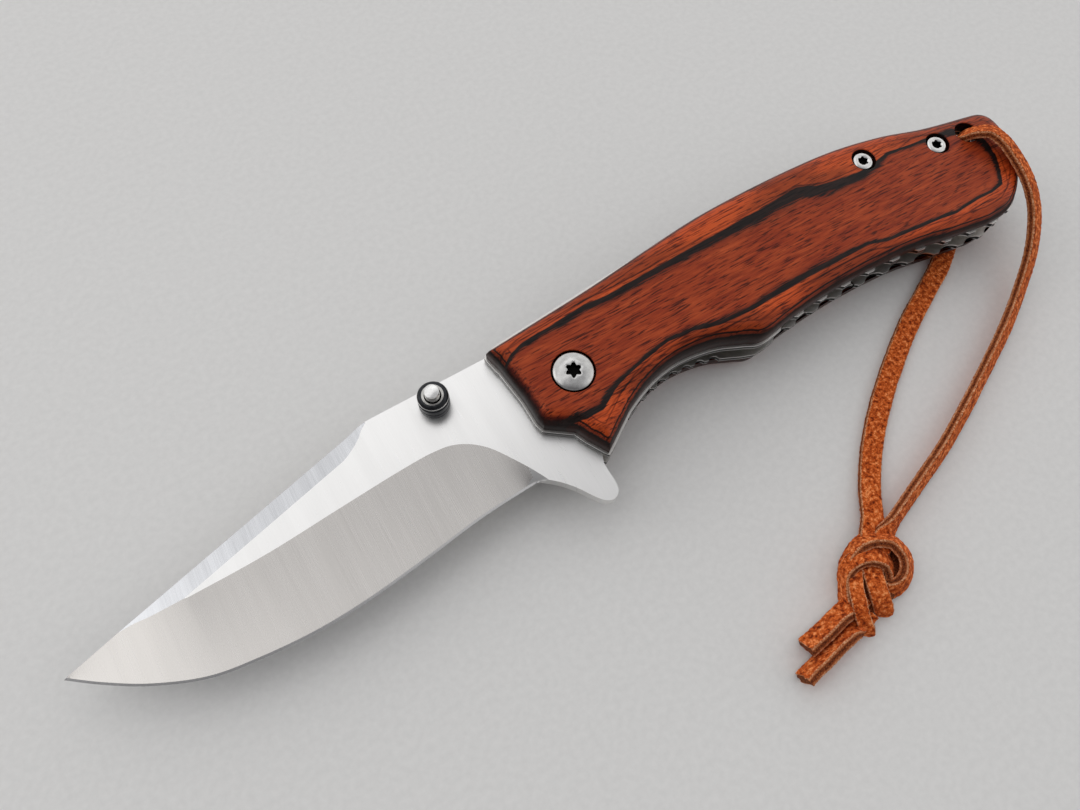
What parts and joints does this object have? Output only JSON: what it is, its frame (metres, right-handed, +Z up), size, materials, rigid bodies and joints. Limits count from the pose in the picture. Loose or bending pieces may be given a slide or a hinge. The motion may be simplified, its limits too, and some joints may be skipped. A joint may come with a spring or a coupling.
{
  "type": "folding pocket knife",
  "caption": "Folding pocket knife with a flipper tab, thumb studs, wooden scales on filed steel liners, a liner lock and a knotted leather lanyard.",
  "frame": {"origin": "under the middle of the open knife's bounding box, lanyard left out, on the surface that the knife lies on", "axes": "+X from the tip towards the butt, +Y from the edge towards the spine, +Z up, out of the front scale"},
  "size_m": [0.2008, 0.082, 0.0165],
  "materials": {
    "wood": "lacquered laminated hardwood, red-brown with black veins",
    "liner_steel": "satin, filed along the belly edge",
    "blade_steel": "satin, fine grinding lines across the bevel",
    "screw_steel": "polished",
    "gunmetal": "blackened steel, semi-gloss",
    "bronze": "plain bronze",
    "leather": "suede"
  },
  "bodies": {
    "handle": {"scale_back": "wood", "scale_front": "wood", "liner_back": "liner_steel", "liner_front": "liner_steel", "pivot_barrel": "screw_steel", "pivot_screw_front": "screw_steel", "pivot_screw_back": "screw_steel", "washer_back": "bronze", "washer_front": "bronze", "stop_pin": "screw_steel", "standoff_1": "screw_steel", "screw_front_1": "screw_steel", "screw_back_1": "screw_steel", "standoff_2": "screw_steel", "screw_front_2": "screw_steel", "screw_back_2": "screw_steel", "lanyard_strand_top": "leather", "lanyard_strand_bottom": "leather", "lanyard_knot": "leather"},
    "blade": {"blade": "blade_steel", "stud_pin": "screw_steel", "stud_collar_front": "gunmetal", "stud_collar_back": "gunmetal"},
    "lock": {"lock_bar": "liner_steel", "detent_ball": "screw_steel"}
  },
  "joints": [
    {"name": "blade_pivot", "type": "hinge", "parent": "handle", "child": "blade", "pos_m": [-0.00595, 0.00245, 0.0077], "axis": [0, 0, 1], "range_deg": [0, 174]},
    {"name": "lock_flex", "type": "hinge", "parent": "handle", "child": "lock", "pos_m": [0.05405, -0.00255, 0.0054], "axis": [0, -1, 0], "range_deg": [-2.3, 0], "deforming": ["lock_bar", "detent_ball"]}
  ]
}
